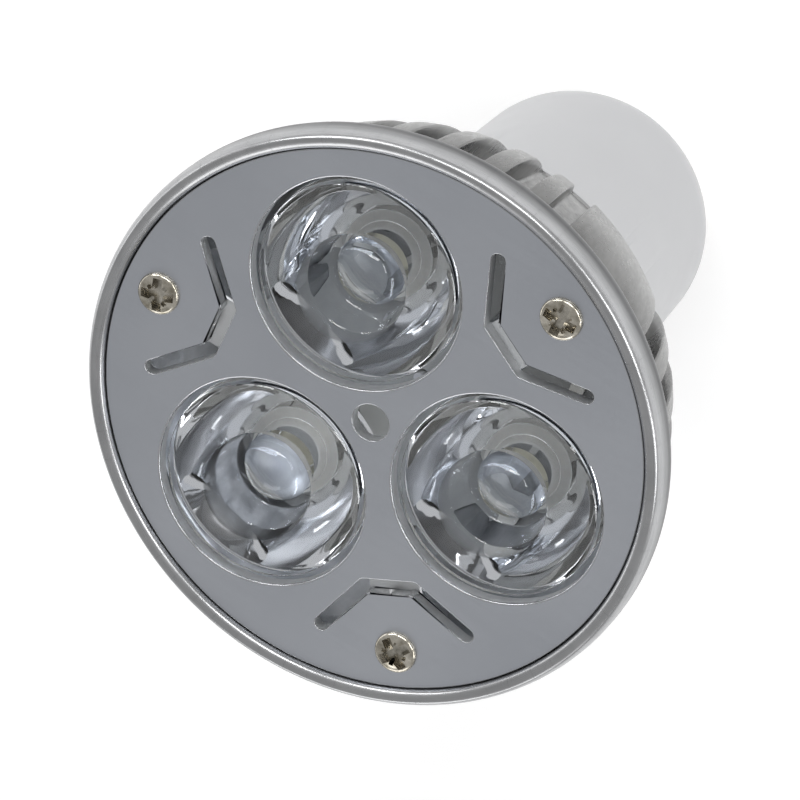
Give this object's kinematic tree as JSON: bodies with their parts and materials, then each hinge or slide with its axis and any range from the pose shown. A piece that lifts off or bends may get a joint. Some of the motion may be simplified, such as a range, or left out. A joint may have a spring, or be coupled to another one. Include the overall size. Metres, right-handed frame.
{
  "type": "spotlight bulb",
  "caption": "Spotlight bulb with a finned metal cup, a flat light face with clear lenses and a white base with headed twist-lock contact pins.",
  "frame": {"origin": "midway between the contact pins, on the plane of their ends", "axes": "+Z along the bulb's axis, from the pins to the light face; X runs through both pins"},
  "size_m": [0.05, 0.05, 0.0575],
  "materials": {
    "cast_aluminium": "bright semi-polished casting with a grainy floor in the grooves",
    "satin_aluminium": "fine satin, cool grey",
    "clear_lens": "clear, polished",
    "led_housing": "matt white moulding with tinned leads",
    "led_dome": "clear dome over a yellow emitter",
    "led_board": "white solder mask on a metal core",
    "nickel_screw": "nickel plated",
    "zinc_screw": "zinc plated",
    "white_base": "smooth, half gloss white",
    "nickel_pin": "nickel plated brass",
    "circuit_board": "green solder mask",
    "ferrite": "dull dark grey",
    "capacitor_can": "can in a dark sleeve",
    "black_package": "matt black moulding",
    "tinned_pin": "tinned"
  },
  "bodies": {
    "root": {"heatsink": "cast_aluminium", "front_plate": "satin_aluminium", "lens_1": "clear_lens", "lens_2": "clear_lens", "lens_3": "clear_lens", "led_1": "led_housing", "led_2": "led_housing", "led_3": "led_housing", "led_dome_1": "led_dome", "led_dome_2": "led_dome", "led_dome_3": "led_dome", "led_board": "led_board", "plate_screw_1": "nickel_screw", "plate_screw_2": "nickel_screw", "plate_screw_3": "nickel_screw", "base_screw_1": "zinc_screw", "base_screw_2": "zinc_screw", "base_housing": "white_base", "pin_1": "nickel_pin", "pin_2": "nickel_pin", "driver_board": "circuit_board", "transformer": "ferrite", "input_capacitor": "capacitor_can", "output_capacitor": "capacitor_can", "bridge_rectifier": "black_package", "driver_chip": "black_package", "board_pin_1": "tinned_pin", "board_pin_2": "tinned_pin"}
  },
  "joints": []
}
